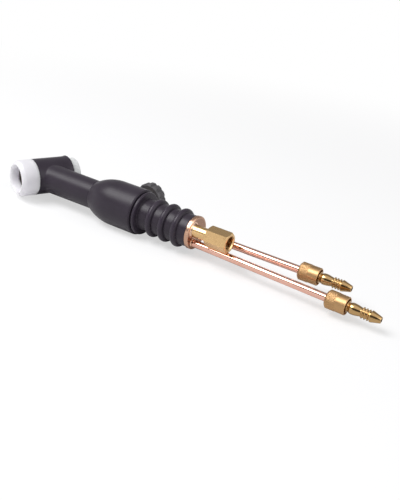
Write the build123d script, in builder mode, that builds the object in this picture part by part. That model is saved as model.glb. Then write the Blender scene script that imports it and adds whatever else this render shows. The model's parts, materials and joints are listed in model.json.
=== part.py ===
from build123d import *
import os
from math import acos, cos, radians, sin, sqrt, tan

# Water-cooled TIG torch body with its gas valve: a head with a collet bore, a neck, a bulged valve
# housing, a ribbed spigot for the handle, and the three service lines at the tail.
#
# Frame, in millimetres: the origin is where the head's axis crosses the neck's axis. +X runs down the
# neck to the tail, +Y is the side of the back cap and the valve knob, and +Z is up with the torch
# lying on its side. "Back" distances along the head are positive towards the back cap.

# ---------------------------------------------------------------- fits
slip = 0.05             # radial room between parts that are brazed, glued or pushed together
thread_room = 0.05      # radial room between a screwed pair
seat_gap = 0.05         # room between faces that a screw closes
corner_angle = 30.0     # of the cone that takes the corners off hexagons

# ---------------------------------------------------------------- head, from the bores outwards
head_angle = 70.0       # from the neck's axis to the back-cap end of the head
collet_bore_radius = 2.6
collet_bore_front = 3.0
collet_bore_back = 5.0
front_thread_radius = 3.6
back_thread_radius = 4.2
core_wall = 1.0         # between the back-cap thread and the water channel
channel_depth = 1.4
core_shoulder = 0.6     # from the core's flanges down to its end spigots
sleeve_wall = 0.75
jacket_wall = 1.75

front_margin = 2.17     # from the neck's root to the jacket's front face
back_margin = 1.53      # and to its rear face
front_flange_length = 2.25      # the core's flanges close the water channel at each end
back_flange_length = 5.3
core_front_spigot = 4.75        # how far the core stands out of the jacket, front and back
core_back_spigot = 3.4
flare_height = 0.3      # the rim at the back end stands this much proud
flare_length = 2.5
junction_round = 1.6    # blend between the head and the neck
line_standoff = 0.9     # the water lines open this far above the channel's floor
gas_port_depth = 1.0    # the gas outlet tube sits this deep in the core

front_gasket_length = 9.05
front_gasket_nose = 2.0         # radius of the rounded nose
funnel_land = 0.2       # flat ring round the funnel's mouth
throat_step = 0.6       # the funnel's throat is this much wider than the thread
throat_length = 0.4
back_gasket_length = 4.5
back_gasket_inset = 1.1         # inside the jacket's outer radius
back_gasket_round = 0.8

# ---------------------------------------------------------------- neck
neck_inset = 1.75       # the neck is this much thinner than the head
neck_length = 35.7      # from the crossing to the valve housing
neck_draft = 0.2        # how much thinner it is where it meets the housing
neck_plug_step = 0.35
plug_setback = 1.2      # the neck's plug ends this far ahead of the housing's cavity

# ---------------------------------------------------------------- service lines
water_tube_radius = 1.8
gas_tube_radius = 1.8
gas_outlet_radius = 1.5
power_tube_radius = 2.2
tube_wall = 0.6
power_wall = 0.8
port_radius = 0.7       # drilled ways that join the gas tubes to the bores they feed
line_pair_angle = 189.4         # middle of the power and water lines, from +Y towards +Z
power_cover = 0.43      # the neck's plug outside the power tube
water_cover = 0.17      # the neck's plug outside the water tube
gas_side = -1.4         # the gas line, beside the valve's axis
water_splay = (-1.7, -0.6)      # (y, z) that each free tube wanders over splay_run
gas_splay = (1.2, -0.2)
splay_run = 66.0
splay_start = 3.4       # behind the tail flange
splay_bend = 200.0

# ---------------------------------------------------------------- valve, heights from the neck's axis
stem_lift = 1.4         # from shut to open
valve_radius = 4.75
valve_line_gap = 0.99   # between the valve body and the water tube
valve_floor = 1.2
port_margin = 0.1       # between a port's edge and the step beside it
seat_depth = 0.7
passage_radius = 1.0
socket_depth = 1.9      # how deep the gas tubes sit in the valve body
ring_margin = 1.1       # from the gas port to the ring's middle
ring_section_radius = 0.42
ring_groove_width = 1.2
ring_land = 0.8
chamber_spare = 0.8     # above the ring's land with the valve open
chamber_relief = 0.25   # the chamber is this much wider than the stem's thread
shoulder_wall = 0.8
boss_step = 0.85
stem_thread_radius = 2.0
stem_shaft_radius = 1.6
stem_journal_radius = 1.5
seat_room = 0.1
needle_length = 0.4
cone_back = 0.3
gland_gap = 0.1         # between the gland nut and the housing
gland_height = 3.9
gland_lid = 1.1
gland_wall = 0.8
knob_gap = 0.8          # under the knob with the valve shut
knob_height = 5.3
knob_radius = 7.8
knob_notches = 12
knob_index = 18.0       # where the first notch stands with the valve shut
notch_cutter_radius = 1.0
notch_depth = 0.75
notch_round = 0.35
knob_chamfer = 0.45
knob_under_bevel = 0.6
knob_square = 2.2
knob_rim = 2.4          # round the dish in the knob's top
knob_dish_depth = 0.5
screw_radius = 0.8
screw_length = 4.0
screw_head_radius = 2.1
screw_head_height = 1.1
screw_head_bevel = 0.4
screw_slot_width = 0.6
screw_slot_depth = 0.55

# ---------------------------------------------------------------- housing and handle spigot
housing_cover = 0.8     # from the valve body's shoulder to the housing's skin
housing_wall = 2.35
housing_nose_lip = 0.1
housing_nose_length = 13.3      # along which the housing swells
housing_body_length = 15.2
housing_rim_round = 0.8
cavity_front_gap = 5.75         # ahead of the valve body
cavity_step = 1.0       # the cavity is at least this much wider than the neck's plug
valve_back_gap = 0.85   # between the valve body and the spigot's plug
spigot_plug_length = 3.6
collar_step = 0.7       # the collar is this much lower than the housing
collar_length = 2.0
collar_round = 0.66
front_land_length = 1.675
rib_count = 3
rib_pitch = 7.1
rib_height = 1.85
groove_cover = 0.55     # the grooves are this much wider than the neck's plug
back_land_length = 2.45

# ---------------------------------------------------------------- tail
flange_edge = 0.83      # outside the power fitting's stub
flange_thickness = 2.2
flange_chamfer = 0.4
stub_wall = 0.7
stub_length = 8.4
power_socket_depth = 6.4
power_bore_radius = 1.5
power_thread_radius = 3.0
hex_wall = 1.4          # outside the thread, across the flats
hex_length = 11.0
hex_floor = 2.0         # behind the thread
hex_turn = 10.0         # one flat faces the water tube
hex_countersink = 0.5
hex_tube_gap = 0.33     # between that flat and the water tube

# ---------------------------------------------------------------- hose unions
water_union_at = 68.7   # nut's front face, behind the tail flange
gas_union_at = 51.0
union_thread_radius = 3.0
nut_mouth_radius = 3.4  # of the recess round the nipple at the nut's open end
nut_mouth_depth = 0.8
nut_wall = 1.1
nut_length = 9.2
nut_floor = 1.4
nut_chamfer = 0.6
nut_rim_chamfer = 0.25
nut_knurl_length = 4.6
nut_step = 0.12         # the knurled half stands this much proud
ferrule_length = 1.35
seal_thickness = 0.7
nipple_bore_radius = 0.9
nipple_neck_radius = 2.2
nipple_neck_length = 3.4
nipple_collar_height = 0.4
nipple_collar_length = 0.9
nipple_collar_inset = 0.4       # inside the nut's mouth
nipple_flare_length = 2.6
nipple_ridge_count = 2
nipple_ridge_pitch = 1.6
nipple_ridge_height = 0.35
nipple_cone_length = 4.3
nipple_tip_taper = 0.85         # the tip is this much thinner than the neck

# ---------------------------------------------------------------- worked out from the above
back = Vector(cos(radians(head_angle)), sin(radians(head_angle)), 0)
head_frame = Plane(origin=(0, 0, 0), x_dir=back, z_dir=(0, 0, 1))
channel_floor = back_thread_radius + core_wall
core_flange_radius = channel_floor + channel_depth
core_spigot_radius = core_flange_radius - core_shoulder
sleeve_outer = core_flange_radius + slip + sleeve_wall
barrel_radius = sleeve_outer + slip + jacket_wall
neck_radius = barrel_radius - neck_inset
neck_plug_radius = neck_radius - neck_draft - neck_plug_step


def station_at(line_y, reach):
    """X where a line at height line_y beside the neck's axis is at reach from the head's axis."""
    return (reach + line_y * back.X) / back.Y


def neck_root_at(side):
    """Distance along the head of the neck's edge where it meets the barrel, at height side."""
    return station_at(side, barrel_radius) * back.X + side * back.Y


barrel_front = front_margin - neck_root_at(-neck_radius)
barrel_back = neck_root_at(neck_radius) + back_margin
core_front = -(barrel_front + core_front_spigot)
core_back = barrel_back + core_back_spigot

# The power and water lines keep the hexagon of the power fitting clear of the water tube.
stub_radius = power_tube_radius + slip + stub_wall
hex_flat = power_thread_radius + hex_wall
power_reach = neck_plug_radius - power_cover - slip - power_tube_radius
water_reach = neck_plug_radius - water_cover - slip - water_tube_radius
line_spacing = hex_flat + hex_tube_gap + water_tube_radius
spacing_cosine = (power_reach**2 + water_reach**2 - line_spacing**2) / (2 * power_reach * water_reach)
half_spacing_angle = acos(spacing_cosine) / 2
power_angle = radians(line_pair_angle) - half_spacing_angle
water_angle = radians(line_pair_angle) + half_spacing_angle
power_line = (power_reach * cos(power_angle), power_reach * sin(power_angle))
water_line = (water_reach * cos(water_angle), water_reach * sin(water_angle))
flange_radius = power_reach + stub_radius + flange_edge

# The valve stands on the water tube, and each height follows from the one below it.
valve_bottom = water_line[0] + water_tube_radius + valve_line_gap
passage_floor = valve_bottom + valve_floor
seat_bottom = passage_floor + port_margin + 2 * port_radius
seat_top = seat_bottom + seat_depth
gas_outlet_line = (seat_bottom - port_radius, 0)
gas_line = (seat_top + port_margin + port_radius, gas_side)
ring_height = gas_line[0] + port_radius + ring_margin
groove_bottom = ring_height - ring_groove_width / 2
groove_top = ring_height + ring_groove_width / 2
chamber_top = groove_top + ring_land + stem_lift + chamber_spare
valve_shoulder = chamber_top + shoulder_wall
housing_radius = max(
    valve_shoulder + housing_cover,
    neck_plug_radius + slip + cavity_step + housing_wall,
)
gland_bottom = housing_radius + gland_gap
gland_top = gland_bottom + gland_height
valve_top = gland_top - gland_lid - seat_gap
knob_bottom = gland_top + knob_gap
knob_top = knob_bottom + knob_height
dish_floor = knob_top - knob_dish_depth
screw_seat = dish_floor - screw_head_height

chamber_radius = stem_thread_radius + chamber_relief
land_radius = chamber_radius - 2 * slip
ring_centre_radius = chamber_radius - slip - ring_section_radius
ring_groove_radius = ring_centre_radius - ring_section_radius - slip
boss_radius = valve_radius - boss_step
stem_thread_start = chamber_top + seat_gap
stem_thread_end = valve_top - stem_lift - seat_gap

housing_straight = neck_length + housing_nose_length    # where the swelling becomes a cylinder
housing_end = housing_straight + housing_body_length
plug_front = housing_end - spigot_plug_length
valve_station = plug_front - valve_back_gap - valve_radius
valve_frame = Plane(origin=(valve_station, 0, 0), x_dir=(0, 1, 0), z_dir=(0, 0, 1))
cavity_radius = housing_radius - housing_wall
cavity_start = valve_station - valve_radius - cavity_front_gap
neck_plug_end = cavity_start - plug_setback

collar_radius = housing_radius - collar_step
groove_radius = neck_plug_radius + groove_cover
ribs_start = housing_end + collar_length + front_land_length
ribs_end = ribs_start + rib_count * rib_pitch
spigot_end = ribs_end + rib_pitch / 4 + back_land_length

flange_back = spigot_end + flange_thickness
nut_radius = union_thread_radius + nut_wall
tube_end_in_nut = nut_floor + seat_gap + ferrule_length


def turn(frame, outline):
    """Turn an outline of (distance, radius) points about the frame's x axis."""
    with BuildSketch(frame) as profile:
        with BuildLine():
            Polyline(*outline, close=True)
        make_face()
    return revolve(profile.sketch, axis=Axis(frame.origin, frame.x_dir))


def drill(line, start, end, radius):
    """Cut a round hole along the neck, centred on a service line."""
    with BuildSketch(Plane.YZ.offset(start)) as section:
        with Locations(line):
            Circle(radius)
    extrude(section.sketch, amount=end - start, mode=Mode.SUBTRACT)


def turned_corners(frame, start, end, flat, ends):
    """Turn the corners off a hexagon's chosen ends, as a lathe leaves them, from its flats outwards."""
    corner = 2 * flat / sqrt(3)
    rise = corner - flat
    run = rise * tan(radians(corner_angle))
    outline = [(start, 0), (end, 0)]
    outline += [(end, flat), (end - run, corner)] if ends[1] else [(end, corner)]
    outline += [(start + run, corner), (start, flat)] if ends[0] else [(start, corner)]
    with BuildSketch(frame) as blank:
        with BuildLine():
            Polyline(*outline, close=True)
        make_face()
    return revolve(blank.sketch, axis=Axis(frame.origin, frame.x_dir), mode=Mode.INTERSECT)


def across_valve(height):
    """Plane square to the valve stem, facing the housing, at a height above the neck's axis."""
    return Plane(origin=(valve_station, height, 0), x_dir=(1, 0, 0), z_dir=(0, -1, 0))


def finish(piece, name):
    """Label a piece and write it to its own file."""
    piece.label = name
    export_step(piece, f"parts/{name}.step")


os.makedirs("parts", exist_ok=True)

# ================================================================ head
power_start = station_at(power_line[0], channel_floor + line_standoff)
water_start = station_at(water_line[0], channel_floor + line_standoff)
gas_outlet_start = station_at(gas_outlet_line[0], channel_floor - gas_port_depth)

with BuildPart() as head_core:
    channel_front = -(barrel_front - front_flange_length)
    channel_back = barrel_back - back_flange_length
    turn(
        head_frame,
        [
            (core_front, front_thread_radius),
            (core_front, core_spigot_radius),
            (-barrel_front, core_spigot_radius),
            (-barrel_front, core_flange_radius),
            (channel_front, core_flange_radius),
            (channel_front, channel_floor),
            (channel_back, channel_floor),
            (channel_back, core_flange_radius),
            (barrel_back, core_flange_radius),
            (barrel_back, core_spigot_radius),
            (core_back, core_spigot_radius),
            (core_back, back_thread_radius),
            (collet_bore_back, back_thread_radius),
            (collet_bore_back, collet_bore_radius),
            (-collet_bore_front, collet_bore_radius),
            (-collet_bore_front, front_thread_radius),
        ],
    )
    # The gas enters through a stepped port that runs into the collet bore.
    port_end = gas_outlet_start + barrel_radius
    drill(gas_outlet_line, gas_outlet_start - slip, port_end, gas_outlet_radius + slip)
    drill(gas_outlet_line, station_at(gas_outlet_line[0], 0), gas_outlet_start, port_radius)
finish(head_core.part, "head_core")

with BuildPart() as cooling_sleeve:
    turn(
        head_frame,
        [
            (-barrel_front, core_flange_radius + slip),
            (-barrel_front, sleeve_outer),
            (barrel_back, sleeve_outer),
            (barrel_back, core_flange_radius + slip),
        ],
    )
    drill(power_line, 0, neck_length, power_tube_radius + slip)
    drill(water_line, 0, neck_length, water_tube_radius + slip)
    drill(gas_outlet_line, 0, neck_length, gas_outlet_radius + slip)
finish(cooling_sleeve.part, "cooling_sleeve")

with BuildPart() as head_jacket:
    with BuildSketch(head_frame):
        with BuildLine():
            skin = Polyline(
                (-barrel_front, 0),
                (-barrel_front, barrel_radius),
                (barrel_back - flare_length, barrel_radius),
            )
            flare = TangentArc(
                skin @ 1,
                (barrel_back - flare_height, barrel_radius + flare_height),
                tangent=(1, 0),
            )
            rim = CenterArc((barrel_back - flare_height, barrel_radius), flare_height, 90, -90)
            Polyline(rim @ 1, (barrel_back, 0), (-barrel_front, 0))
        make_face()
    revolve(axis=Axis(head_frame.origin, head_frame.x_dir))
    neck_root = barrel_radius / 3
    turn(
        Plane.XY,
        [
            (neck_root, 0),
            (neck_root, neck_radius),
            (neck_length, neck_radius - neck_draft),
            (neck_length, neck_plug_radius),
            (neck_plug_end, neck_plug_radius),
            (neck_plug_end, 0),
        ],
    )
    round_or_straight = (GeomType.CIRCLE, GeomType.LINE)
    junction = head_jacket.edges().filter_by(lambda edge: edge.geom_type not in round_or_straight)
    fillet(junction, junction_round)
    with BuildSketch(Plane(origin=back * -barrel_front, z_dir=back)):
        Circle(sleeve_outer + slip)
    extrude(amount=barrel_front + barrel_back, mode=Mode.SUBTRACT)
    drill(power_line, 0, neck_plug_end, power_tube_radius + slip)
    drill(water_line, 0, neck_plug_end, water_tube_radius + slip)
    drill(gas_outlet_line, 0, neck_plug_end, gas_outlet_radius + slip)
finish(head_jacket.part, "head_jacket")

with BuildPart() as front_cup_gasket:
    gasket_tip = -(barrel_front + front_gasket_length)
    funnel_end = core_front - seat_gap
    funnel_mouth_radius = barrel_radius - front_gasket_nose - funnel_land
    funnel_throat_radius = front_thread_radius + throat_step
    with BuildSketch(head_frame):
        with BuildLine():
            Polyline(
                (funnel_end, core_spigot_radius + slip),
                (-barrel_front, core_spigot_radius + slip),
                (-barrel_front, barrel_radius),
                (gasket_tip + front_gasket_nose, barrel_radius),
            )
            nose = CenterArc(
                (gasket_tip + front_gasket_nose, barrel_radius - front_gasket_nose),
                front_gasket_nose,
                90,
                90,
            )
            Polyline(
                nose @ 1,
                (gasket_tip, funnel_mouth_radius),
                (funnel_end - throat_length, funnel_throat_radius),
                (funnel_end, funnel_throat_radius),
                (funnel_end, core_spigot_radius + slip),
            )
        make_face()
    revolve(axis=Axis(head_frame.origin, head_frame.x_dir))
finish(front_cup_gasket.part, "front_cup_gasket")

with BuildPart() as rear_cap_gasket:
    with BuildSketch(Plane(origin=back * barrel_back, z_dir=back)):
        Circle(barrel_radius - back_gasket_inset)
        Circle(core_spigot_radius + slip, mode=Mode.SUBTRACT)
    extrude(amount=back_gasket_length)
    outer_rim = rear_cap_gasket.edges().filter_by(GeomType.CIRCLE).sort_by(SortBy.RADIUS)[-2:]
    fillet(outer_rim.sort_by(Axis(head_frame.origin, back))[-1], back_gasket_round)
finish(rear_cap_gasket.part, "rear_cap_gasket")


# ================================================================ service lines
def straight_line(line, start, end, radius, wall):
    """A straight tube beside the neck's axis."""
    with BuildPart() as tube:
        with BuildSketch(Plane.YZ.offset(start)):
            with Locations(line):
                Circle(radius)
                Circle(radius - wall, mode=Mode.SUBTRACT)
        extrude(amount=end - start)
    return tube.part


def splayed_end(line, splay, reach):
    """Where a free tube's end lies, and the frame whose x runs on along it."""
    run = Vector(splay_run, *splay)
    bend = Vector(flange_back + splay_start, *line)
    end = bend + run * ((reach - splay_start) / splay_run)
    return Plane(origin=end, x_dir=run, z_dir=Vector(0, 0, 1) - run.normalized() * run.normalized().Z)


def splayed_line(line, start, end_frame, radius):
    """A tube that runs straight to the tail, then splays gently to its end."""
    with BuildPart() as tube:
        with BuildLine() as route:
            FilletPolyline(
                (start, *line),
                (flange_back + splay_start, *line),
                end_frame.origin,
                radius=splay_bend,
            )
        with BuildSketch(Plane.YZ.offset(start)):
            with Locations(line):
                Circle(radius)
                Circle(radius - tube_wall, mode=Mode.SUBTRACT)
        sweep(path=route.wires()[0])
    return tube.part


power_socket_end = spigot_end + power_socket_depth
water_end = splayed_end(water_line, water_splay, water_union_at + tube_end_in_nut)
gas_end = splayed_end(gas_line, gas_splay, gas_union_at + tube_end_in_nut)
gas_inlet_start = valve_station + sqrt(valve_radius**2 - gas_side**2) - socket_depth + seat_gap
gas_outlet_end = valve_station - valve_radius + socket_depth - seat_gap

finish(
    straight_line(power_line, power_start, power_socket_end, power_tube_radius, power_wall),
    "power_tube",
)
finish(splayed_line(water_line, water_start, water_end, water_tube_radius), "water_tube")
finish(splayed_line(gas_line, gas_inlet_start, gas_end, gas_tube_radius), "gas_inlet_tube")
finish(
    straight_line(gas_outlet_line, gas_outlet_start, gas_outlet_end, gas_outlet_radius, tube_wall),
    "gas_outlet_tube",
)

# ================================================================ valve
with BuildPart() as valve_body:
    turn(
        valve_frame,
        [
            (valve_bottom, 0),
            (valve_bottom, valve_radius),
            (valve_shoulder, valve_radius),
            (valve_shoulder, boss_radius),
            (valve_top, boss_radius),
            (valve_top, stem_thread_radius + thread_room),
            (chamber_top, stem_thread_radius + thread_room),
            (chamber_top, chamber_radius),
            (seat_top, chamber_radius),
            (seat_bottom, passage_radius),
            (passage_floor, passage_radius),
            (passage_floor, 0),
        ],
    )
    drill(gas_line, gas_inlet_start - seat_gap, valve_station + valve_radius + slip, gas_tube_radius + slip)
    drill(gas_line, valve_station, gas_inlet_start, port_radius)
    outlet_mouth = valve_station - valve_radius - slip
    drill(gas_outlet_line, outlet_mouth, gas_outlet_end + seat_gap, gas_outlet_radius + slip)
    drill(gas_outlet_line, gas_outlet_end, valve_station, port_radius)
finish(valve_body.part, "valve_body")

with BuildPart() as valve_stem:
    turn(
        valve_frame,
        [
            (seat_bottom - needle_length, 0),
            (seat_bottom - needle_length, passage_radius - seat_room),
            (seat_bottom, passage_radius - seat_room),
            (seat_top, chamber_radius - seat_room),
            (seat_top + cone_back, stem_shaft_radius),
            (groove_bottom - ring_land, stem_shaft_radius),
            (groove_bottom - ring_land, land_radius),
            (groove_bottom, land_radius),
            (groove_bottom, ring_groove_radius),
            (groove_top, ring_groove_radius),
            (groove_top, land_radius),
            (groove_top + ring_land, land_radius),
            (groove_top + ring_land, stem_shaft_radius),
            (stem_thread_start, stem_shaft_radius),
            (stem_thread_start, stem_thread_radius),
            (stem_thread_end, stem_thread_radius),
            (stem_thread_end, stem_journal_radius),
            (knob_bottom, stem_journal_radius),
            (knob_bottom, 0),
        ],
    )
    with BuildSketch(across_valve(knob_bottom)):
        Rectangle(knob_square, knob_square)
    extrude(amount=-(screw_seat - knob_bottom - seat_gap))
    with BuildSketch(across_valve(screw_seat)):
        Circle(screw_radius + thread_room)
    extrude(amount=screw_length + seat_gap, mode=Mode.SUBTRACT)
finish(valve_stem.part, "valve_stem")

with BuildPart() as stem_o_ring:
    with BuildSketch(valve_frame):
        with Locations((ring_height, ring_centre_radius)):
            Circle(ring_section_radius)
    revolve(axis=Axis(valve_frame.origin, valve_frame.x_dir))
finish(stem_o_ring.part, "stem_o_ring")

with BuildPart() as gland_nut:
    with BuildSketch(across_valve(gland_bottom)):
        RegularPolygon(boss_radius + gland_wall, 6, major_radius=False)
    extrude(amount=-gland_height)
    turned_corners(valve_frame, gland_bottom, gland_top, boss_radius + gland_wall, (False, True))
    with BuildSketch(across_valve(gland_bottom)):
        Circle(boss_radius + thread_room)
    extrude(amount=-(gland_height - gland_lid), mode=Mode.SUBTRACT)
    with BuildSketch(across_valve(gland_bottom)):
        Circle(stem_journal_radius + 2 * slip)
    extrude(amount=-gland_height, mode=Mode.SUBTRACT)
finish(gland_nut.part, "gland_nut")

with BuildPart() as valve_knob:
    with BuildSketch(across_valve(knob_bottom)) as notched_outline:
        Circle(knob_radius)
        notch_centre_radius = knob_radius + notch_cutter_radius - notch_depth
        with PolarLocations(notch_centre_radius, knob_notches, start_angle=knob_index):
            Circle(notch_cutter_radius, mode=Mode.SUBTRACT)
        fillet(notched_outline.vertices(), notch_round)
    extrude(amount=-knob_height)
    with BuildSketch(valve_frame) as knob_blank:
        with BuildLine():
            Polyline(
                (knob_bottom, 0),
                (knob_bottom, knob_radius - knob_under_bevel),
                (knob_bottom + 2 * knob_under_bevel, knob_radius),
                (knob_top - knob_chamfer, knob_radius),
                (knob_top, knob_radius - knob_chamfer),
                (knob_top, 0),
                close=True,
            )
        make_face()
    revolve(knob_blank.sketch, axis=Axis(valve_frame.origin, valve_frame.x_dir), mode=Mode.INTERSECT)
    with BuildSketch(across_valve(knob_top)):
        Circle(knob_radius - knob_rim)
    extrude(amount=knob_dish_depth, mode=Mode.SUBTRACT)
    with BuildSketch(across_valve(dish_floor)):
        Circle(screw_head_radius + 2 * slip)
    extrude(amount=screw_head_height, mode=Mode.SUBTRACT)
    with BuildSketch(across_valve(knob_bottom)):
        Rectangle(knob_square + 2 * slip, knob_square + 2 * slip)
    extrude(amount=-knob_height, mode=Mode.SUBTRACT)
finish(valve_knob.part, "valve_knob")

with BuildPart() as knob_screw:
    turn(
        valve_frame,
        [
            (screw_seat - screw_length, 0),
            (screw_seat - screw_length, screw_radius),
            (screw_seat, screw_radius),
            (screw_seat, screw_head_radius),
            (dish_floor - screw_head_bevel, screw_head_radius),
            (dish_floor, screw_head_radius - screw_head_bevel),
            (dish_floor, 0),
        ],
    )
    with BuildSketch(across_valve(dish_floor)):
        Rectangle(3 * screw_head_radius, screw_slot_width)
    extrude(amount=screw_slot_depth, mode=Mode.SUBTRACT)
finish(knob_screw.part, "knob_screw")

# ================================================================ housing and handle spigot
with BuildPart() as valve_housing:
    with BuildSketch(Plane.XY):
        with BuildLine():
            housing_nose_radius = neck_radius - neck_draft + housing_nose_lip
            rise = housing_radius - housing_nose_radius
            ogive = RadiusArc(
                (neck_length, housing_nose_radius),
                (housing_straight, housing_radius),
                (housing_nose_length**2 + rise**2) / (2 * rise),
            )
            Polyline(
                ogive @ 1,
                (housing_end, housing_radius),
                (housing_end, cavity_radius),
                (cavity_start, cavity_radius),
                (cavity_start, neck_plug_radius + slip),
                (neck_length, neck_plug_radius + slip),
                ogive @ 0,
            )
        make_face()
    revolve(axis=Axis.X)
    end_rims = valve_housing.edges().filter_by(GeomType.CIRCLE).group_by(Axis.X)[-1]
    fillet(end_rims.sort_by(SortBy.RADIUS)[-1], housing_rim_round)
    with BuildSketch(across_valve(0)):
        Circle(valve_radius + slip)
    extrude(amount=-(housing_radius + slip), mode=Mode.SUBTRACT)
finish(valve_housing.part, "valve_housing")

with BuildPart() as handle_spigot:
    with BuildSketch(Plane.XY):
        with BuildLine():
            rib_radius = groove_radius + rib_height
            mid_radius = groove_radius + rib_height / 2
            quarter = rib_pitch / 4
            collar_back = housing_end + collar_length
            Polyline(
                (plug_front, 0),
                (plug_front, cavity_radius - slip),
                (housing_end, cavity_radius - slip),
                (housing_end, collar_radius),
                (collar_back - collar_round, collar_radius),
            )
            collar_edge = CenterArc(
                (collar_back - collar_round, collar_radius - collar_round),
                collar_round,
                90,
                -90,
            )
            Polyline(collar_edge @ 1, (collar_back, mid_radius), (ribs_start, mid_radius))
            for rib in range(rib_count):
                for half_wave, crest in ((0, groove_radius), (1, rib_radius)):
                    left = ribs_start + rib * rib_pitch + half_wave * 2 * quarter
                    ThreePointArc(
                        (left, mid_radius),
                        (left + quarter, crest),
                        (left + 2 * quarter, mid_radius),
                    )
            last_groove = TangentArc(
                (ribs_end + quarter, groove_radius),
                (ribs_end, mid_radius),
                tangent=(-1, 0),
            )
            Polyline(
                last_groove @ 0,
                (spigot_end, groove_radius),
                (spigot_end, 0),
                (plug_front, 0),
            )
        make_face()
    revolve(axis=Axis.X)
    drill(power_line, plug_front, spigot_end, power_tube_radius + slip)
    drill(water_line, plug_front, spigot_end, water_tube_radius + slip)
    drill(gas_line, plug_front, spigot_end, gas_tube_radius + slip)
finish(handle_spigot.part, "handle_spigot")

# ================================================================ tail
with BuildPart() as tail_flange:
    with BuildSketch(Plane.YZ.offset(spigot_end)):
        Circle(flange_radius)
        with Locations(power_line):
            Circle(stub_radius + slip, mode=Mode.SUBTRACT)
        with Locations(water_line):
            Circle(water_tube_radius + slip, mode=Mode.SUBTRACT)
        with Locations(gas_line):
            Circle(gas_tube_radius + slip, mode=Mode.SUBTRACT)
    extrude(amount=flange_thickness)
    outer_edges = tail_flange.edges().filter_by(GeomType.CIRCLE).sort_by(SortBy.RADIUS)[-2:]
    chamfer(outer_edges, flange_chamfer)
finish(tail_flange.part, "tail_flange")

with BuildPart() as power_fitting:
    hex_end = flange_back + stub_length + hex_length
    thread_start = hex_end - (hex_length - hex_floor)
    power_frame = Plane(origin=(0, *power_line), x_dir=(1, 0, 0), z_dir=(0, 0, 1))
    with BuildSketch(Plane.YZ.offset(flange_back + stub_length)):
        with Locations(power_line):
            RegularPolygon(hex_flat, 6, major_radius=False, rotation=hex_turn)
    extrude(amount=hex_length)
    turned_corners(power_frame, flange_back + stub_length, hex_end, hex_flat, (True, True))
    with BuildSketch(Plane.YZ.offset(spigot_end)):
        with Locations(power_line):
            Circle(stub_radius)
    extrude(amount=flange_thickness + stub_length)
    with BuildSketch(power_frame):
        with BuildLine():
            Polyline(
                (spigot_end, 0),
                (spigot_end, power_tube_radius + slip),
                (power_socket_end + seat_gap, power_tube_radius + slip),
                (power_socket_end + seat_gap, power_bore_radius),
                (thread_start, power_bore_radius),
                (thread_start, power_thread_radius),
                (hex_end - hex_countersink, power_thread_radius),
                (hex_end, power_thread_radius + hex_countersink),
                (hex_end, 0),
                close=True,
            )
        make_face()
    revolve(axis=Axis(power_frame.origin, power_frame.x_dir), mode=Mode.SUBTRACT)
finish(power_fitting.part, "power_fitting")


# ================================================================ hose unions
def hose_union(line_name, end, tube_radius):
    """The ferrule, nut, seal and hose nipple at the end of one free tube.

    end is the frame at the tube's open end, with x running on along the tube.
    """
    nut_front = -tube_end_in_nut
    nut_back = nut_front + nut_length
    knurl_end = nut_front + nut_knurl_length
    nut_thread_radius = union_thread_radius + thread_room
    ferrule_radius = union_thread_radius - slip
    seal_end = seat_gap + seal_thickness
    nipple_start = seal_end + slip
    mouth_floor = nut_back - nut_mouth_depth
    collar_start = nut_back - nipple_collar_inset
    flare_start = collar_start + nipple_collar_length
    neck_start = flare_start + nipple_flare_length
    ridges_start = neck_start + nipple_neck_length
    cone_start = ridges_start + nipple_ridge_count * nipple_ridge_pitch + nipple_ridge_pitch / 2
    tip = cone_start + nipple_cone_length
    collar_radius = nipple_neck_radius + nipple_collar_height
    ridge_radius = nipple_neck_radius + nipple_ridge_height

    with BuildPart() as ferrule:
        turn(
            end,
            [
                (-ferrule_length, tube_radius + slip),
                (-ferrule_length, ferrule_radius),
                (0, ferrule_radius),
                (0, tube_radius + slip),
            ],
        )
    finish(ferrule.part, f"{line_name}_tube_ferrule")

    with BuildPart() as nut:
        turn(
            end,
            [
                (nut_front, tube_radius + 2 * slip),
                (nut_front, nut_radius - nut_chamfer),
                (nut_front + nut_chamfer, nut_radius),
                (knurl_end, nut_radius),
                (knurl_end + nut_step, nut_radius - nut_step),
                (nut_back - nut_rim_chamfer, nut_radius - nut_step),
                (nut_back, nut_radius - nut_step - nut_rim_chamfer),
                (nut_back, nut_mouth_radius),
                (mouth_floor, nut_mouth_radius),
                (mouth_floor, nut_thread_radius),
                (nut_front + nut_floor, nut_thread_radius),
                (nut_front + nut_floor, tube_radius + 2 * slip),
            ],
        )
    finish(nut.part, f"{line_name}_union_nut")

    with BuildPart() as seal:
        turn(
            end,
            [
                (seat_gap, nipple_bore_radius),
                (seat_gap, ferrule_radius),
                (seal_end, ferrule_radius),
                (seal_end, nipple_bore_radius),
            ],
        )
    finish(seal.part, f"{line_name}_union_seal")

    with BuildPart() as nipple:
        with BuildSketch(end) as nipple_profile:
            with BuildLine():
                shank = Polyline(
                    (nipple_start, nipple_bore_radius),
                    (nipple_start, union_thread_radius),
                    (mouth_floor, union_thread_radius),
                    (mouth_floor, nipple_neck_radius),
                    (collar_start, nipple_neck_radius),
                    (collar_start, collar_radius),
                    (flare_start, collar_radius),
                )
                flare = TangentArc((neck_start, nipple_neck_radius), shank @ 1, tangent=(-1, 0))
                outline = [flare @ 0]
                for ridge in range(nipple_ridge_count):
                    ridge_start = ridges_start + ridge * nipple_ridge_pitch
                    outline.append((ridge_start, nipple_neck_radius))
                    outline.append((ridge_start + nipple_ridge_pitch / 2, ridge_radius))
                Polyline(
                    *outline,
                    (cone_start - nipple_ridge_pitch / 4, nipple_neck_radius),
                    (cone_start, ridge_radius),
                    (tip, nipple_neck_radius - nipple_tip_taper),
                    (tip, nipple_bore_radius),
                    shank @ 0,
                )
            make_face()
        revolve(nipple_profile.sketch, axis=Axis(end.origin, end.x_dir))
    finish(nipple.part, f"{line_name}_hose_nipple")


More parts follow.
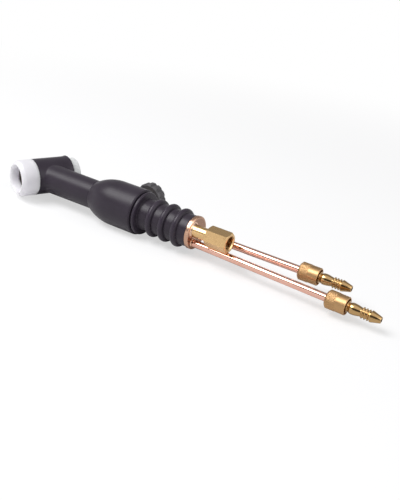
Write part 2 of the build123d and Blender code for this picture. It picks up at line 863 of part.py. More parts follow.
hose_union("water", water_end, water_tube_radius)
hose_union("gas", gas_end, gas_tube_radius)
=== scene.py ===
# %% [markdown]
# A water-cooled TIG torch body, lying on its side: a black moulded head and neck, a bulged valve
# housing with a small knob, a ribbed spigot for the handle, and three metal service lines that end in
# a cable fitting and two hose unions. The measured solids are loaded first and stay where they are.
# This file gives them their finishes. It makes again, in finer detail, the pieces whose surface follows
# a rule or has to take a polish: the ribbed spigot, the front ring, the nuts, the nipples, the tubes
# and the pieces with a screw thread in them.

# %% Load the measured solids
import bmesh
import bpy
import json
from math import cos, pi, radians, sin, tau
from mathutils import Matrix, Vector


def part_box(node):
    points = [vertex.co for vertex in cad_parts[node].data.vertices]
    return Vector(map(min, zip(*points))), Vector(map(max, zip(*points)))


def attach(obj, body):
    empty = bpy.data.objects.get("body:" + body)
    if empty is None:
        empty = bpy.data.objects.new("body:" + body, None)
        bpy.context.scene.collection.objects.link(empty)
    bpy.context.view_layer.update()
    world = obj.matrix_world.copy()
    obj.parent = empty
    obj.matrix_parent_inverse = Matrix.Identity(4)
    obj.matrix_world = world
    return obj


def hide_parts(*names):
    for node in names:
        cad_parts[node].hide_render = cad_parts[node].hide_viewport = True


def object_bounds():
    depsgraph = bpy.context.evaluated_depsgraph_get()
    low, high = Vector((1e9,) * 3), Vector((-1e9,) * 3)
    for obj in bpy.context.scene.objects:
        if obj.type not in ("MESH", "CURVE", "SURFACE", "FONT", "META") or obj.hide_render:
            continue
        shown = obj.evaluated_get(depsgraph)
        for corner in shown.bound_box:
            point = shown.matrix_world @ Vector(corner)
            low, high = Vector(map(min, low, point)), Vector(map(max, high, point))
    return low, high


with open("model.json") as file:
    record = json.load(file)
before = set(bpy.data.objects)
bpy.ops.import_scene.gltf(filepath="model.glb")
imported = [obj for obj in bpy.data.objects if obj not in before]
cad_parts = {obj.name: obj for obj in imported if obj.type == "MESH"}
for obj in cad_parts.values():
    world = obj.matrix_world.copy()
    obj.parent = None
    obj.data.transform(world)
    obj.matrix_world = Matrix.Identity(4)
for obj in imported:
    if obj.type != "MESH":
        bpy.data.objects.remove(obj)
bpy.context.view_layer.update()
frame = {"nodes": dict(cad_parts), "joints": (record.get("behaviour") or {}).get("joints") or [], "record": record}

# %% [markdown]
# Nearly every piece of a torch is turned about some line: the head about the electrode's line, the
# housing about the neck's, the nuts about their tubes. The record that travels with the solids says
# where those lines are, in its mounts and joints. Typing the places in again would let them drift from
# the solids, so a small class keeps a point and a direction, and measures solids along them.

# %% Lines that pieces are turned about
MM = 0.001
mounts = {mount["name"]: mount for mount in frame["record"]["mounts"]}
joints = {joint["name"]: joint for joint in frame["joints"]}


class Line:
    """A point and a direction, with a side and a rise square to it."""

    def __init__(self, point, direction):
        self.point = Vector(point)
        self.direction = Vector(direction).normalized()
        self.side = Vector((0, 0, 1)).cross(self.direction).normalized()
        self.rise = self.direction.cross(self.side)

    def matrix(self):
        """Takes x to the line's direction, y to its side and z to its rise."""
        turn = Matrix((self.direction, self.side, self.rise)).transposed().to_4x4()
        return Matrix.Translation(self.point) @ turn

    def span(self, node):
        """Where a solid starts and ends along the line, and how far it reaches from it."""
        offsets = [vertex.co - self.point for vertex in frame["nodes"][node].data.vertices]
        along = [offset.dot(self.direction) for offset in offsets]
        reach = [(offset - self.direction * a).length for offset, a in zip(offsets, along)]
        return min(along), max(along), max(reach)


head_line = Line((0, 0, 0), mounts["back_cap_thread"]["axis"])
neck_line = Line((0, 0, 0), (1, 0, 0))
valve_line = Line(joints["knob_turn"]["pos_m"], joints["knob_turn"]["axis"])
cable_line = Line(mounts["power_cable_thread"]["pos_m"], (1, 0, 0))
water_line = Line(joints["water_nut_turn"]["pos_m"], mounts["water_hose_barb"]["axis"])
gas_line = Line(joints["gas_nut_turn"]["pos_m"], mounts["gas_hose_barb"]["axis"])
hose_lines = {"water": water_line, "gas": gas_line}
flange_back = neck_line.span("tail_flange")[1]
print("head to neck:", round(head_line.direction.angle(neck_line.direction) * 180 / pi, 1), "degrees")
print("water nut along its line:", [round(v / MM, 2) for v in water_line.span("water_union_nut")], "mm")

# %% [markdown]
# Finishes and Geometry Nodes trees are both made of nodes. Making and joining nodes one call at a time
# hides what they work out, so two small classes stand in front of them. A wire is a value on its way
# through the nodes, and Python's own operators add the Math nodes. A bench adds every other node: it
# takes the node's kind, its settings, and the values or wires of its sockets.


# %% Node maths
class Wire:
    """A value on its way through a bench's nodes. +, -, *, / and % add Math nodes."""

    def __init__(self, bench, socket):
        self.bench = bench
        self.socket = socket

    def maths(self, operation, first, second=0.0):
        return self.bench.node("ShaderNodeMath", {"operation": operation}, {0: first, 1: second})

    def __add__(self, other):
        return self.maths("ADD", self, other)

    def __sub__(self, other):
        return self.maths("SUBTRACT", self, other)

    def __rsub__(self, other):
        return self.maths("SUBTRACT", other, self)

    def __mul__(self, other):
        return self.maths("MULTIPLY", self, other)

    def __truediv__(self, other):
        return self.maths("DIVIDE", self, other)

    def __mod__(self, other):
        return self.maths("FLOORED_MODULO", self, other)

    def __abs__(self):
        return self.maths("ABSOLUTE", self)

    def wave(self):
        """A straight-sided wave of the value: 0 at whole numbers and 1 halfway between them."""
        return 1 - abs((self % 1.0) * 2 - 1)


class Bench:
    """A tree of nodes, added one at a time."""

    def __init__(self, tree):
        self.tree = tree

    def node(self, kind, settings=(), inputs=(), output=0):
        """Add a node, set it up, fill or join its sockets, and return one of its outputs."""
        made = self.tree.nodes.new(kind)
        for name, value in dict(settings).items():
            setattr(made, name, value)
        for name, value in dict(inputs).items():
            self.join(value, made.inputs[name])
        return Wire(self, made.outputs[output])

    def join(self, value, socket):
        """Run a wire to a socket, or set the socket to a plain value."""
        if isinstance(value, Wire):
            self.tree.links.new(value.socket, socket)
        else:
            socket.default_value = value

    def also(self, wire, output):
        """Another output of the node that a wire comes from."""
        return Wire(self, wire.socket.node.outputs[output])

    def vec(self, x=0.0, y=0.0, z=0.0):
        return self.node("ShaderNodeCombineXYZ", (), {"X": x, "Y": y, "Z": z})

    def step(self, value, low, high, start=0.0, end=1.0):
        """Smoothly from start to end as value goes from low to high."""
        settings = {"interpolation_type": "SMOOTHSTEP"}
        inputs = {"Value": value, "From Min": low, "From Max": high, "To Min": start, "To Max": end}
        return self.node("ShaderNodeMapRange", settings, inputs)

    def noise(self, vector, size, detail, rough):
        """Smooth noise from 0 to 1 whose features are about size metres across."""
        inputs = {"Vector": vector, "Scale": 1 / size, "Detail": detail, "Roughness": rough}
        return self.node("ShaderNodeTexNoise", {}, inputs, "Fac")


# %% [markdown]
# A finish is a material filled in node by node. Patterns on a torch follow its lines: turning marks go
# round, drawn tube has marks lengthwise, and rubbing shows on whatever stands out. So a finish can ask
# how far along a line a point of the surface is, at what angle round it, and how far from it.


# %% A class for finishes
class Finish(Bench):
    """A named material, whose shader is filled in node by node."""

    def __init__(self, name):
        self.material = bpy.data.materials.new(name)
        self.material.use_nodes = True
        super().__init__(self.material.node_tree)
        self.shader = self.tree.nodes["Principled BSDF"]

    def set(self, **values):
        """Fill the shader's own sockets, named with _ for a space."""
        for name, value in values.items():
            self.join(value, self.shader.inputs[name.replace("_", " ")])
        return self

    def place(self):
        """Where a point of the surface is, in metres."""
        return self.node("ShaderNodeTexCoord", output="Object")

    def vector(self, operation, first, second=(0.0, 0.0, 0.0), output=0):
        """One Vector Math node. Dot products and lengths come out of its Value."""
        return self.node("ShaderNodeVectorMath", {"operation": operation}, {0: first, 1: second}, output)

    def about(self, line):
        """How far along a line a point is, its angle about the line, and its distance from it."""
        offset = self.vector("SUBTRACT", self.place(), tuple(line.point))
        along = self.vector("DOT_PRODUCT", offset, tuple(line.direction), "Value")
        across = self.vector("DOT_PRODUCT", offset, tuple(line.side), "Value")
        up = self.vector("DOT_PRODUCT", offset, tuple(line.rise), "Value")
        angle = across.maths("ARCTAN2", up, across)
        return along, angle, self.vector("LENGTH", self.vec(across, up), output="Value")

    def mix(self, share, first, second):
        """One colour into another."""
        colours = [(*c, 1.0) if isinstance(c, tuple) else c for c in (first, second)]
        inputs = {0: share, 6: colours[0], 7: colours[1]}
        return self.node("ShaderNodeMix", {"data_type": "RGBA"}, inputs, 2)

    def bump(self, height, depth, under=None):
        """A normal from a height of 0 to 1 that stands for depth metres."""
        inputs = {"Height": height, "Distance": depth, "Strength": 1.0}
        if under is not None:
            inputs["Normal"] = under
        return self.node("ShaderNodeBump", {}, inputs)


def shade(colour, amount):
    """A colour made darker by an amount below 1, or paler by one above it."""
    return tuple(min(1.0, amount * c) for c in colour)


def dress(finish, *nodes):
    """Give solids a finish."""
    for name in nodes:
        for slot in frame["nodes"][name].material_slots:
            slot.material = finish.material


# %% [markdown]
# The head, neck, housing and spigot are moulded from black heat-resistant rubber. It isn't a pure
# black: it is a very dark grey with a violet cast. A fine grain from the mould makes it satin, the skin
# is a little wavy because rubber shrinks unevenly, and it is paler and smoother where hands rub what
# stands out. Noise at three sizes gives those, and a faint line marks where the mould's halves met.


# %% Black moulded rubber
def moulded(name, line, colour, rubbed_reach):
    """Black moulding about a line, paler where its reach from the line is more than rubbed_reach."""
    rub_fade, split_width, split_fade = 0.6 * MM, 0.05 * MM, 0.16 * MM
    darker, paler, rubbed_pale = shade(colour, 0.8), shade(colour, 1.25), shade(colour, 1.9)
    smoothest = 0.29
    finish = Finish(name)
    place = finish.place()
    reach = finish.about(line)[2]
    grain = finish.noise(place, 0.25 * MM, 3.0, 0.6)
    cloud = finish.noise(place, 9 * MM, 3.0, 0.6)
    swell = finish.noise(place, 5 * MM, 1.0, 0.4)
    smear = finish.step(finish.noise(place, 3.5 * MM, 4.0, 0.7), 0.56, 0.74)
    rubbed = finish.step(reach, rubbed_reach - rub_fade, rubbed_reach)
    off_split = abs(finish.node("ShaderNodeSeparateXYZ", (), {0: place}, "Z"))
    split = finish.step(off_split, split_width, split_fade, 1.0, 0.0)
    body = finish.mix(cloud, darker, paler)
    body = finish.mix(smear * 0.22 + rubbed * 0.3, body, rubbed_pale)
    finish.set(Base_Color=body, Specular_IOR_Level=0.26, Sheen_Weight=0.05, Sheen_Roughness=0.5)
    finish.set(Roughness=cloud * 0.08 + smear * 0.05 + grain * 0.08 - rubbed * 0.05 + smoothest)
    wavy = finish.bump(swell, 0.05 * MM)
    marked = finish.bump(split, 0.012 * MM, wavy)
    return finish.set(Normal=finish.bump(grain, 0.014 * MM, marked))


rubber = (0.0285, 0.0213, 0.0327)
body_rubber = moulded("body rubber", neck_line, rubber, 14 * MM)
spigot_rubber = moulded("spigot rubber", neck_line, rubber, 9.2 * MM)
dress(body_rubber, "head_jacket", "valve_housing")
print("rubber finishes:", body_rubber.material.name, "and", spigot_rubber.material.name)

# %% [markdown]
# The fittings are turned brass. A lathe leaves very fine rings square to the line it turned about, and
# brass dulls in patches as it is handled. Stretching noise so that it changes only along the line and
# outwards from it draws those rings, and a second, rounder noise lays the tarnish.


# %% Turned brass
def turned(name, line, colour, dark, rough):
    """Metal turned about a line, with rings and a little tarnish. rough is its usual roughness."""
    ring_width, ring_depth, round_stretch = 0.13 * MM, 0.0015 * MM, 0.02 * MM
    marks_add = 0.06
    finish = Finish(name)
    along, angle, reach = finish.about(line)
    rings = finish.noise(finish.vec(along, reach, angle * round_stretch), ring_width, 2.0, 0.7)
    tarnish = finish.noise(finish.place(), 2.6 * MM, 4.0, 0.65)
    stain = finish.step(tarnish, 0.5, 0.76)
    finish.colour = finish.mix(stain * 0.45 + rings * 0.12, colour, dark)
    finish.set(Base_Color=finish.colour, Metallic=1.0)
    finish.set(Roughness=rings * 0.1 + stain * 0.12 + (rough - marks_add))
    return finish.set(Normal=finish.bump(rings, ring_depth))


# %% [markdown]
# Brass isn't one colour on a torch. The cable fitting is bright, the nuts are duller, the nipples are
# polished, and the flange is pinker. The flange's brass also holds painted shade: it is set darker, and
# darker still on its face within reach of the neck's line, for the shaded table that the face reflects.
# The valve's own pieces are painted near black, as shade under the knob.

# %% Brass pieces
brass = (0.80, 0.53, 0.26)
dull_brass = (0.50, 0.31, 0.13)
nut_brass = (0.53, 0.325, 0.16)
bright_brass = (0.53, 0.34, 0.155)
# The flange's colours hold painted shade: they are set darker for the shaded table that the flange reflects.
pink_with_painted_shade, dull_pink_with_painted_shade, painted_face_shade_brass = (0.62, 0.38, 0.265), (0.42, 0.24, 0.16), (0.28, 0.16, 0.11)
flange_brass_and_shade = turned("flange brass", neck_line, pink_with_painted_shade, dull_pink_with_painted_shade, 0.26)
# Painted shade: the flange is darkened further towards the neck's line, for the shaded table that its face
# reflects.
painted_face_shade = flange_brass_and_shade.step(flange_brass_and_shade.about(neck_line)[2], 6.6 * MM, 7.9 * MM, 0.75, 0.0)
flange_brass_and_shade.set(Base_Color=flange_brass_and_shade.mix(painted_face_shade, flange_brass_and_shade.colour, painted_face_shade_brass))
# Painted shade: the valve's brass is coloured near black, for the shade under the knob.
valve_brass_in_shade = turned("valve brass", valve_line, shade(brass, 0.16), shade(dull_brass, 0.12), 0.4)
dress(flange_brass_and_shade, "tail_flange")
dress(valve_brass_in_shade, "valve_body", "valve_stem", "gland_nut")
for service, line in hose_lines.items():
    dress(turned(f"{service} ferrule brass", line, brass, dull_brass, 0.3), f"{service}_tube_ferrule")
print("flange face at", round(flange_back / MM, 2), "mm along the neck")

# %% [markdown]
# The tubes are hard-drawn copper. The die leaves long faint streaks and an otherwise bright skin, so
# this noise is the other way round: it changes with the angle and hardly at all along the tube. Near
# the brazed joints at the tail the heat has turned the copper a little brown.


# %% Drawn copper
def drawn(name, line, colour, dark, hot_end):
    """Copper tube along a line, turned brown by heat near hot_end on it."""
    long_stretch, streak_width, streak_depth = 0.01, 0.25 * MM, 0.0002 * MM
    heat_from, heat_to, smoothest = 1.5 * MM, 7 * MM, 0.045
    finish = Finish(name)
    along, angle = finish.about(line)[:2]
    round_tube = finish.vec(along * long_stretch, angle * (1.8 * MM), 0.0)
    streaks = finish.noise(round_tube, streak_width, 2.0, 0.5)
    tarnish = finish.step(finish.noise(finish.place(), 5 * MM, 4.0, 0.65), 0.5, 0.76)
    heat = finish.step(abs(along - hot_end), heat_from, heat_to, 1.0, 0.0)
    body = finish.mix(tarnish * 0.3 + streaks * 0.1 + heat * 0.35, colour, dark)
    finish.set(Base_Color=body, Metallic=1.0, Roughness=streaks * 0.02 + tarnish * 0.05 + smoothest)
    return finish.set(Normal=finish.bump(streaks, streak_depth))


copper = (0.86, 0.52, 0.42)
brown_copper = (0.56, 0.26, 0.17)
tube_copper = {
    service: drawn(f"{service} tube copper", line, copper, brown_copper, flange_back - line.point.x)
    for service, line in hose_lines.items()
}
dress(drawn("inner tube copper", neck_line, copper, brown_copper, 0.0), "gas_outlet_tube", "power_tube")
print("copper finishes:", ", ".join(finish.material.name for finish in tube_copper.values()))

# %% [markdown]
# The soft and plain pieces come last. The front ring is a white fluoropolymer that lets light a little
# way in, the rear gasket is milky silicone that lets in more, the knob is a grained black plastic, and
# its screw is steel. They share one recipe: a cloudy colour, a grain, and a roughness that follows both.


# %% White ring, milky gasket, knob, seals and screw
def plain(name, colour, rough, grain_size, depth):
    """A cloudy, grained finish. rough is its usual roughness, and depth is the grain's."""
    marks_add = 0.08
    finish = Finish(name)
    place = finish.place()
    grain = finish.noise(place, grain_size, 2.0, 0.6)
    cloud = finish.noise(place, 5 * MM, 3.0, 0.6)
    body = finish.mix(cloud, shade(colour, 0.95), shade(colour, 1.04))
    finish.set(Base_Color=body, Roughness=grain * 0.1 + cloud * 0.06 + (rough - marks_add))
    return finish.set(Normal=finish.bump(grain, depth))


white = plain("white fluoropolymer", (0.80, 0.785, 0.825), 0.42, 0.4 * MM, 0.012 * MM)
white.set(Subsurface_Weight=0.8, Subsurface_Scale=3 * MM, Subsurface_Radius=(1.0, 0.97, 1.0))
milky = plain("milky silicone", (0.79, 0.81, 0.815), 0.3, 0.4 * MM, 0.01 * MM)
milky.set(Subsurface_Weight=0.9, Subsurface_Scale=4 * MM, Subsurface_Radius=(1.0, 1.0, 1.0))
knob_plastic = plain("knob plastic", (0.085, 0.08, 0.087), 0.45, 0.25 * MM, 0.03 * MM)
seal_rubber = plain("seal rubber", (0.02, 0.02, 0.02), 0.5, 0.3 * MM, 0.01 * MM)
steel = plain("screw steel", (0.62, 0.62, 0.62), 0.3, 0.2 * MM, 0.005 * MM)
steel.set(Metallic=1.0)
dress(milky, "rear_cap_gasket")
dress(knob_plastic, "valve_knob")
dress(seal_rubber, "stem_o_ring", "water_union_seal", "gas_union_seal")
dress(steel, "knob_screw")
print("finishes so far:", len(bpy.data.materials))

# %% [markdown]
# Ribs, knurls, screw threads and bent tubes all follow a rule, which is what Geometry Nodes are for. A
# recipe is one tree with named inputs. It is given to a piece as a modifier, the inputs are set before
# the piece is first shown, and what the tree shows then becomes the piece's own mesh, because a
# finished part has to be plain geometry.


# %% A class for Geometry Nodes trees
def added(name, data):
    """A new object in the scene."""
    made = bpy.data.objects.new(name, data)
    bpy.context.scene.collection.objects.link(made)
    return made


def settle(piece):
    """Make what a piece's modifiers show its own mesh, and take the modifiers off."""
    shown = piece.evaluated_get(bpy.context.evaluated_depsgraph_get())
    piece.data = bpy.data.meshes.new_from_object(shown)
    piece.modifiers.clear()
    piece.data.name = piece.name


class Recipe(Bench):
    """A Geometry Nodes tree with named inputs."""

    def __init__(self, name, inputs):
        super().__init__(bpy.data.node_groups.new(name, "GeometryNodeTree"))
        sockets = self.tree.interface
        sockets.new_socket("Geometry", in_out="INPUT", socket_type="NodeSocketGeometry")
        self.named = {}
        for label, kind in inputs.items():
            made = sockets.new_socket(label, in_out="INPUT", socket_type="NodeSocket" + kind)
            self.named[label] = made.identifier
        sockets.new_socket("Geometry", in_out="OUTPUT", socket_type="NodeSocketGeometry")
        self.given = self.tree.nodes.new("NodeGroupInput")
        self.served = self.tree.nodes.new("NodeGroupOutput")

    def get(self, label):
        return Wire(self, self.given.outputs[label])

    def serve(self, geometry):
        """End the tree: real geometry, in the finish that was asked for."""
        whole = self.node("GeometryNodeRealizeInstances", {}, {0: geometry})
        dressed = self.node("GeometryNodeSetMaterial", {}, {0: whole, "Material": self.get("Finish")})
        self.join(dressed, self.served.inputs[0])

    def make(self, piece, values):
        """Run a piece's mesh through the tree, with a value for each input by its label."""
        modifier = piece.modifiers.new(self.tree.name, "NODES")
        modifier.node_group = self.tree
        for label, value in values.items():
            modifier[self.named[label]] = value
        settle(piece)


# %% [markdown]
# A lathe is one such tree. The piece's own mesh holds only its outline, as points of (distance,
# radius). The tree makes a grid with a row for each outline point and a column for each side. Each grid
# point looks up the outline point that it came from, and with it how much of each kind of work it gets,
# so that a knurl or a thread can start and stop along the piece.

# %% The lathe's outline and grid
lathe = Recipe("lathe", {
    "Sides": "Int", "Finish": "Material",
    "Rib Start": "Float", "Rib Pitch": "Float", "Rib Width": "Float", "Rib Height": "Float",
    "Knurl Teeth": "Float", "Knurl Radius": "Float", "Knurl Depth": "Float",
    "Thread Pitch": "Float", "Thread Depth": "Float", "Unevenness": "Float", "Seed": "Float",
})
outline = lathe.get("Geometry")
points = lathe.node("GeometryNodeAttributeDomainSize", {"component": "MESH"}, {0: outline})
columns = lathe.get("Sides") + 1
grid = lathe.node("GeometryNodeMeshGrid", {}, {"Vertices X": points + 1, "Vertices Y": columns})
index = lathe.node("GeometryNodeInputIndex")
row = lathe.node("ShaderNodeMath", {"operation": "FLOOR"}, {0: (index + 0.5) / columns})
turn = (index - row * columns) / lathe.get("Sides")


def outline_value(kind, value):
    """A value of the outline point that a grid point came from. The last row closes on the first."""
    settings = {"data_type": kind, "domain": "POINT"}
    return lathe.node("GeometryNodeSampleIndex", settings, {0: outline, 1: value, 2: row % points})


def work(name):
    """How much of one kind of work an outline point gets, from 0 to 1."""
    return outline_value("FLOAT", lathe.node("GeometryNodeInputNamedAttribute", {}, {0: name}))


spot = outline_value("FLOAT_VECTOR", lathe.node("GeometryNodeInputPosition"))
along = lathe.node("ShaderNodeSeparateXYZ", (), {0: spot}, "X")
radius = lathe.also(along, "Y")
print("lathe inputs:", ", ".join(lathe.named))

# %% [markdown]
# Each rib is a rounded ring, so in section it is half an ellipse: the rule finds how far a point is from
# the nearest rib's crest, and how high the ellipse stands there. Between ribs it is flat. The knurl is
# two sets of slanting grooves that cross, and what stands between them is a diamond. The thread is one
# slanting groove that climbs a pitch in a turn, with flat crests, as a rolled thread has.

# %% Ribs, knurl and thread as sums
beat = (along - lathe.get("Rib Start")) / lathe.get("Rib Pitch")
off_crest = abs(beat % 1.0 - 0.5) * lathe.get("Rib Pitch") * 2 / lathe.get("Rib Width")
ellipse = lathe.node("ShaderNodeMath", {"operation": "SQRT"}, {0: 1 - off_crest * off_crest})
ribbed = work("rib") * lathe.get("Rib Height") * ellipse

GROOVE_FLOOR, DIAMOND_EDGE = 0.1, 0.62
teeth = lathe.get("Knurl Teeth")
lead = along * teeth / (lathe.get("Knurl Radius") * tau)
one_way, other_way = (turn * teeth + lead).wave(), (turn * teeth - lead).wave()
crossing = one_way.maths("MINIMUM", one_way, other_way)
grooved = lathe.step(crossing, GROOVE_FLOOR, DIAMOND_EDGE, 1.0, 0.0)
knurled = work("knurl") * lathe.get("Knurl Depth") * grooved

CREST_EDGE, ROOT_EDGE = 0.2, 0.8
groove = (along / lathe.get("Thread Pitch") - turn).wave()
threaded = work("thread") * lathe.get("Thread Depth") * lathe.step(groove, CREST_EDGE, ROOT_EDGE)

# %% [markdown]
# Braze isn't even, so the lathe can also leave lumps. They come from smooth noise on a drum of fixed
# size round the line, which meets itself after a full turn, and a seed gives each piece its own.
# Everything is then added to the outline's radius, and the grid is wrapped round the line. Points that
# meet, on the line and where the last side joins the first, are merged, which closes the mesh.

# %% Wrap the grid round the line
LUMP_SCALE, WELD = 1.6, 0.001 * MM
angle = turn * tau
cosine, sine = angle.maths("COSINE", angle), angle.maths("SINE", angle)
drum = lathe.vec(cosine, sine, along / MM)
noise_inputs = {"Vector": drum, "W": lathe.get("Seed"), "Scale": LUMP_SCALE, "Detail": 1.0}
lumps = lathe.node("ShaderNodeTexNoise", {"noise_dimensions": "4D"}, noise_inputs, "Fac")
uneven = work("uneven") * lathe.get("Unevenness") * (lumps * 2 - 1)

reach = radius + ribbed - knurled + threaded + uneven
wrapped = lathe.vec(along, reach * cosine, reach * sine)
placed = lathe.node("GeometryNodeSetPosition", {}, {"Geometry": grid, "Position": wrapped})
lathe.serve(lathe.node("GeometryNodeMergeByDistance", {}, {"Geometry": placed, "Distance": WELD}))
print("nodes in the lathe:", len(lathe.tree.nodes))

# %% [markdown]
# Using the lathe is then like using a real one: give it an outline in millimetres, a line to turn about,
# and the work to do. Each outline point is a distance, a radius, and the kind of work it gets, if any.
# Two helpers write the stretches that no one would type: a run at one radius with many points for a
# knurl or a thread to bend, and an arc for a rounded corner.

# %% Turn a piece
MERGE = 0.0005 * MM


def run(start, end, radius, kind, step, fade=0.0):
    """Outline points at one radius that get a kind of work, less of it within fade of the ends."""
    points = []
    count = round(abs(end - start) / step)
    for i in range(count + 1):
        x = start + (end - start) * i / count
        edge = min(abs(x - start), abs(end - x))
        points.append((x, radius, kind, min(1.0, edge / fade) if fade else 1.0))
    return points


def arc(x, radius, width, height, first, last, steps):
    """Outline points on part of an ellipse round (x, radius), between two angles in degrees."""
    angles = [radians(first + (last - first) * i / steps) for i in range(steps + 1)]
    return [(x + width * cos(angle), radius + height * sin(angle)) for angle in angles]


def tidy(piece, finish):
    """One finish, normals outward, and smooth but for its sharper edges."""
    sharp = radians(35)
    shell = bmesh.new()
    shell.from_mesh(piece.data)
    bmesh.ops.remove_doubles(shell, verts=shell.verts, dist=MERGE)
    bmesh.ops.delete(shell, geom=[edge for edge in shell.edges if edge.is_wire], context="EDGES")
    bmesh.ops.recalc_face_normals(shell, faces=shell.faces)
    for face in shell.faces:
        face.smooth, face.material_index = True, 0
    open_edges = sum(not edge.is_manifold for edge in shell.edges)
    shell.to_mesh(piece.data)
    shell.free()
    if "custom_normal" in piece.data.attributes:
        piece.data.attributes.remove(piece.data.attributes["custom_normal"])
    piece.data.materials.clear()
    piece.data.materials.append(finish.material)
    piece.data.set_sharp_from_angle(angle=sharp)
    print(piece.name, "faces:", len(piece.data.polygons), "open edges:", open_edges)
    return piece


def turned_piece(name, line, outline, finish, sides, jobs=()):
    """Turn an outline about a line. jobs holds the lathe's other inputs that the piece needs."""
    mesh = bpy.data.meshes.new(name)
    ends = [(i, i + 1) for i in range(len(outline) - 1)]
    mesh.from_pydata([(point[0] * MM, point[1] * MM, 0.0) for point in outline], ends, [])
    for kind in ("rib", "knurl", "thread", "uneven"):
        amounts = [point[3] if len(point) > 2 and point[2] == kind else 0.0 for point in outline]
        mesh.attributes.new(kind, "FLOAT", "POINT").data.foreach_set("value", amounts)
    piece = added(name, mesh)
    lathe.make(piece, {"Sides": sides, "Finish": finish.material, **dict(jobs)})
    piece.data.transform(line.matrix())
    return tidy(piece, finish)


# %% [markdown]
# Some pieces have holes that aren't on the line they are turned about, and those are cut with a
# Boolean. The cutter is a rod, or a tap: a threaded rod whose crests stand a little outside the hole and
# whose roots stand a little inside it, so that only the thread's grooves are cut. The exact solver is
# used because the cutter's sides run along the hole's own wall.


# %% Cutters
def cut(piece, cutters, finish):
    """Cut a piece with closed meshes, which are thrown away."""
    for cutter in cutters:
        modifier = piece.modifiers.new("cut", "BOOLEAN")
        modifier.operation, modifier.solver, modifier.object = "DIFFERENCE", "EXACT", cutter
    settle(piece)
    for cutter in cutters:
        bpy.data.objects.remove(cutter)
    return tidy(piece, finish)


def rod(start, end, y, z, radius, finish):
    """A plain rod along the neck's line, in millimetres."""
    line = Line((0, y * MM, z * MM), neck_line.direction)
    return turned_piece("rod", line, [(start, 0), (start, radius), (end, radius), (end, 0)], finish, 72)


def tap(line, start, end, mount, depth, finish):
    """A threaded rod that cuts grooves of a depth into the wall of a mount's hole, in millimetres."""
    pitch, root_inside = 0.9, 0.1
    hole = mounts[mount]["dims"]["r_mm"]
    outline = [(start, 0.0), *run(start, end, hole - root_inside, "thread", pitch / 8), (end, 0.0)]
    jobs = {"Thread Pitch": pitch * MM, "Thread Depth": (depth + root_inside) * MM}
    return turned_piece("tap", line, outline, finish, 96, jobs)


# %% [markdown]
# Three tubes run through the spigot: power, water and gas. What is drilled or brazed for them has to
# line up with them, so their places and radii are measured on their solids. Each tube's front end is
# square to the neck, and the box round that end's points gives its middle and its radius. Rounding to a
# ten-thousandth of a millimetre drops the noise that a mesh's short numbers have in their last digits.


# %% Where the tubes run
def in_mm(metres):
    """Metres as millimetres, without the noise."""
    return round(metres / MM, 4)


def measured_tube(node):
    """A tube's y, z and radius at its front end, in millimetres."""
    slack = 0.01 * MM
    points = [vertex.co for vertex in frame["nodes"][node].data.vertices]
    front = min(point.x for point in points)
    ring = [point for point in points if point.x - front < slack]
    left, right = min(point.y for point in ring), max(point.y for point in ring)
    bottom, top = min(point.z for point in ring), max(point.z for point in ring)
    return in_mm((left + right) / 2), in_mm((bottom + top) / 2), in_mm((right - left) / 2)


tube_solids = {"power": "power_tube", "water": "water_tube", "gas": "gas_inlet_tube"}
tubes = {service: measured_tube(node) for service, node in tube_solids.items()}
print("tubes' y, z and radius:", tubes, "mm")

# %% [markdown]
# The spigot is where a hand-sized handle pushes on. Its collar stops the handle, and its three soft ribs
# grip it. The plug in front of the collar fits inside the housing's rear edge. The moulding stands in
# for the plain solid, and is drilled for the three tubes with a little clearance.

# %% Ribbed spigot
spigot_front, spigot_back = (in_mm(v) for v in neck_line.span("handle_spigot")[:2])
collar_front, collar_back, floor, rib_radius = 64.8, 66.2, 7.65, 9.3
ribs_start, rib_pitch, rib_width, rib_count = 69.65, 7.1, 3.3, 3
outline = [(spigot_front, 0.0), (spigot_front, 8.4), (spigot_front + 0.4, 8.798), (64.1, 8.798)]
outline += [(64.2, 9.1), (collar_front - 0.05, 9.1), (collar_front, 9.6)]
outline += arc(collar_front + 0.45, 10.05, 0.45, 0.42, 180, 90, 8)
outline += arc(collar_back - 0.6, 9.87, 0.6, 0.6, 90, 0, 8)
outline += arc(collar_back + 0.35, floor + 0.4, 0.35, 0.4, 180, 270, 4)
outline += run(ribs_start, ribs_start + rib_pitch * rib_count, floor, "rib", 0.08)
outline += [(spigot_back, floor - 0.15), (spigot_back, 0.0)]
jobs = {
    "Rib Start": ribs_start * MM, "Rib Pitch": rib_pitch * MM,
    "Rib Width": rib_width * MM, "Rib Height": (rib_radius - floor) * MM,
}
spigot = turned_piece("ribbed_spigot", neck_line, outline, spigot_rubber, 160, jobs)
clearance, past_ends = 0.05, 0.6
drills = [
    rod(spigot_front - past_ends, spigot_back + past_ends, y, z, tube_radius + clearance, spigot_rubber)
    for y, z, tube_radius in tubes.values()
]
cut(spigot, drills, spigot_rubber)
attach(spigot, "torch_body")
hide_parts("handle_spigot")

# %% [markdown]
# The white ring at the front seals the ceramic cup. It is turned from fluoropolymer rod, with a bevel
# round its front and a funnel inside that leads the cup's parts in, so it is the lathe's work as well.
# The outline goes along the outside to the front, over the nose, and back through the funnel.

# %% Front ring
outline = [(-6.7, 6.05), (-6.7, 9.1), (-6.8, 9.2), (-13.9, 9.2), (-14.15, 9.15), (-14.35, 9.03)]
outline += [(-15.35, 8.05), (-15.6, 7.8), (-15.74, 7.6), (-15.8, 7.35), (-15.8, 7.15), (-15.7, 6.98)]
outline += [(-14.6, 6.35), (-13.4, 5.85), (-12.4, 5.55), (-11.75, 5.4)]
outline += [(-11.55, 5.38), (-11.5, 5.45), (-11.5, 6.05)]
ring = turned_piece("front_ring", head_line, outline, white, 128)
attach(ring, "torch_body")
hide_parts("front_cup_gasket")

# %% [markdown]
# A union nut pulls the hose's nipple onto the end of its tube. It is turned from brass bar: a diamond
# knurl on the front half for the fingers, a smooth rear half, and a thread inside. Each nut is one
# outline that goes all the way round, out along the outside and back through the bore.

